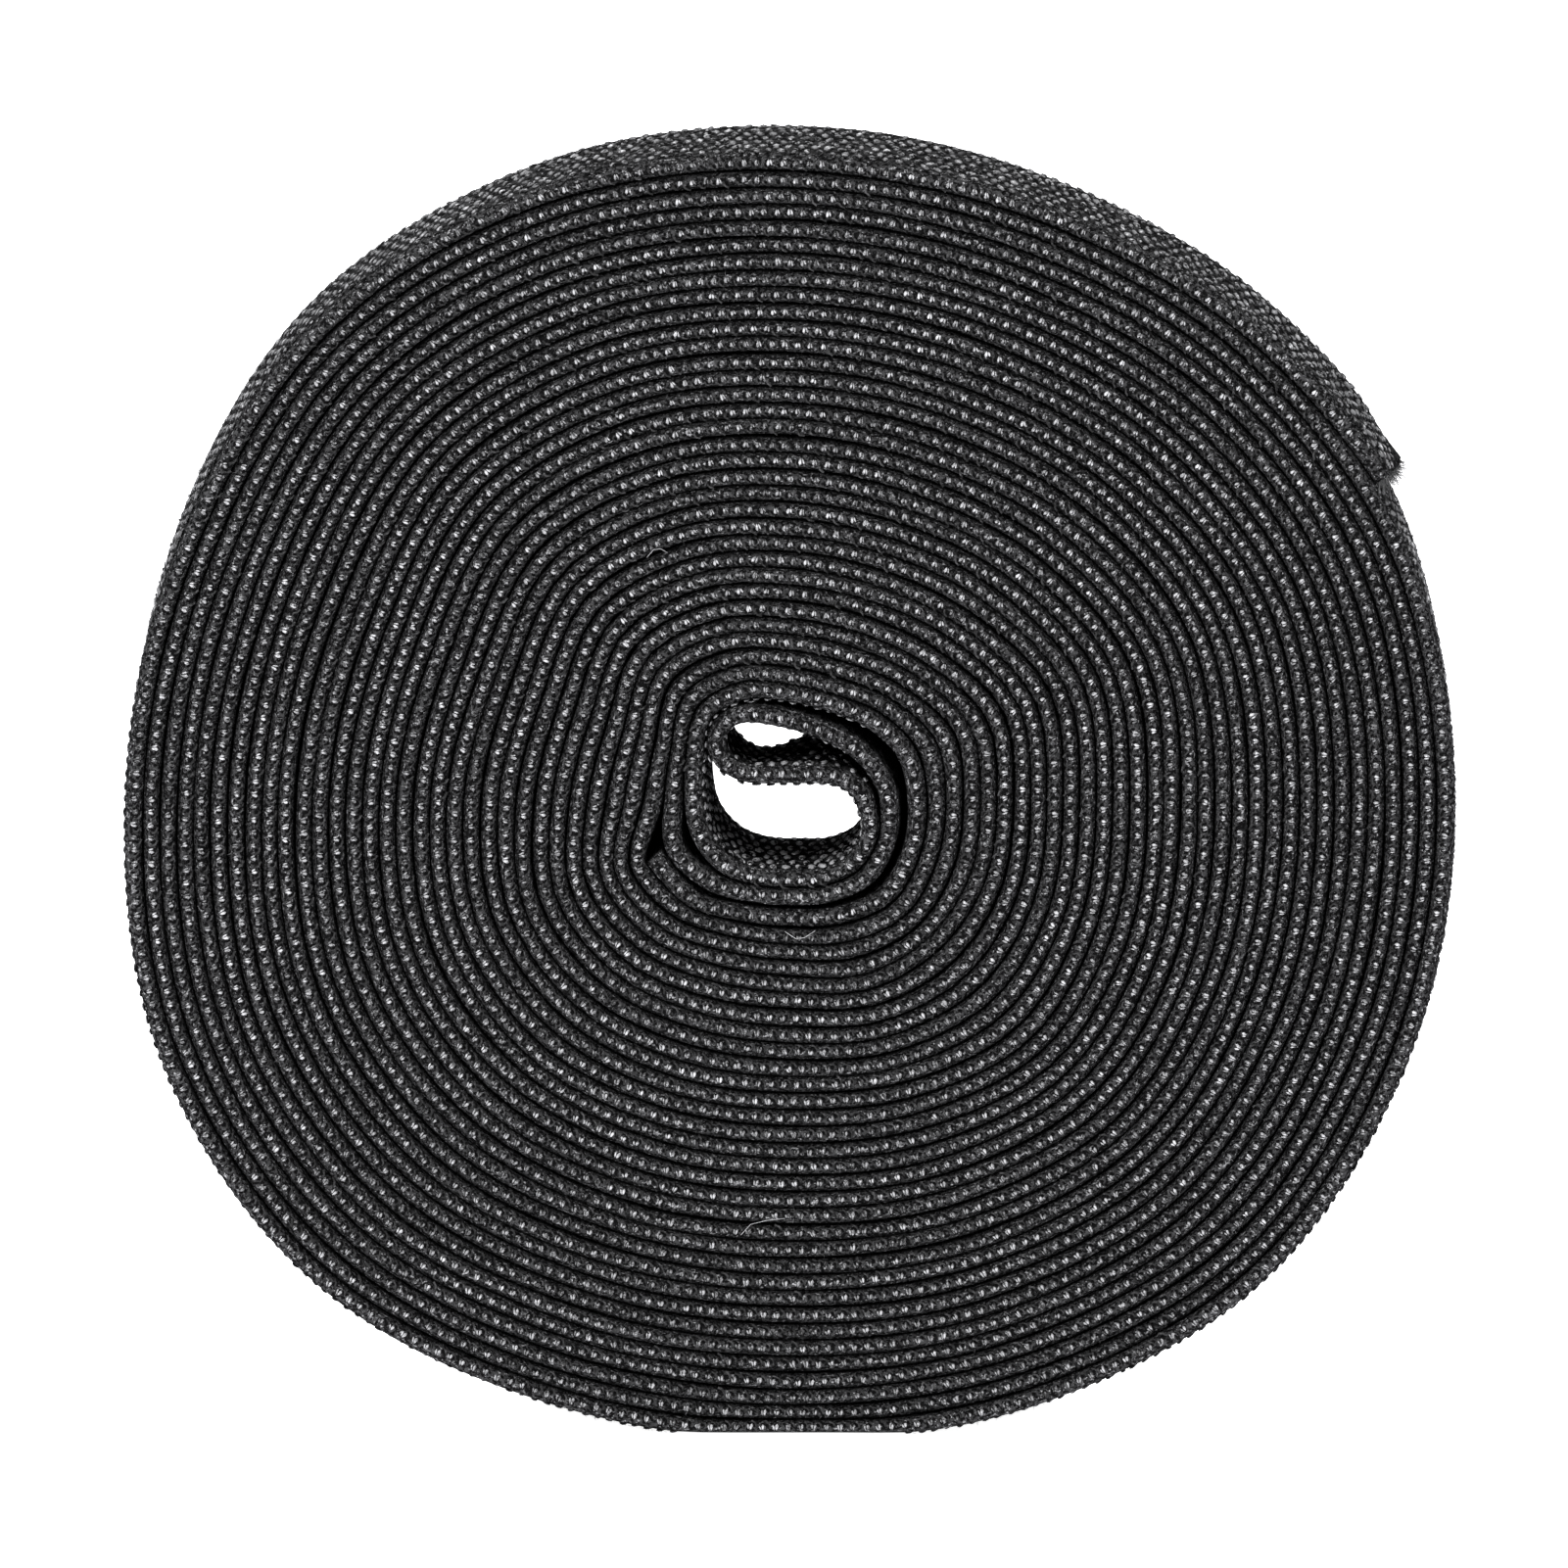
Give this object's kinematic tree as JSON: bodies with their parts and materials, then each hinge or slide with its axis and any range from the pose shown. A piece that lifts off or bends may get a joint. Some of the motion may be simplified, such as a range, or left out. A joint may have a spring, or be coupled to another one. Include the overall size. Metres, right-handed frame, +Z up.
{
  "type": "reel of elastic",
  "caption": "Flat knitted elastic band wound on itself into a coreless roll that stands on its rim, with a small eye, a folded inner end and a loose outer end.",
  "frame": {"origin": "on the surface that the roll stands on, under the middle of the roll's box", "axes": "+Z up; Y along the roll's axis, with the front face towards -Y; +X to the right of the front face"},
  "size_m": [0.0808, 0.025, 0.0783],
  "materials": {
    "knitted_elastic": "matt black ribbed knit with shiny selvedge loops"
  },
  "bodies": {
    "root": {"elastic_band": "knitted_elastic"}
  },
  "joints": []
}
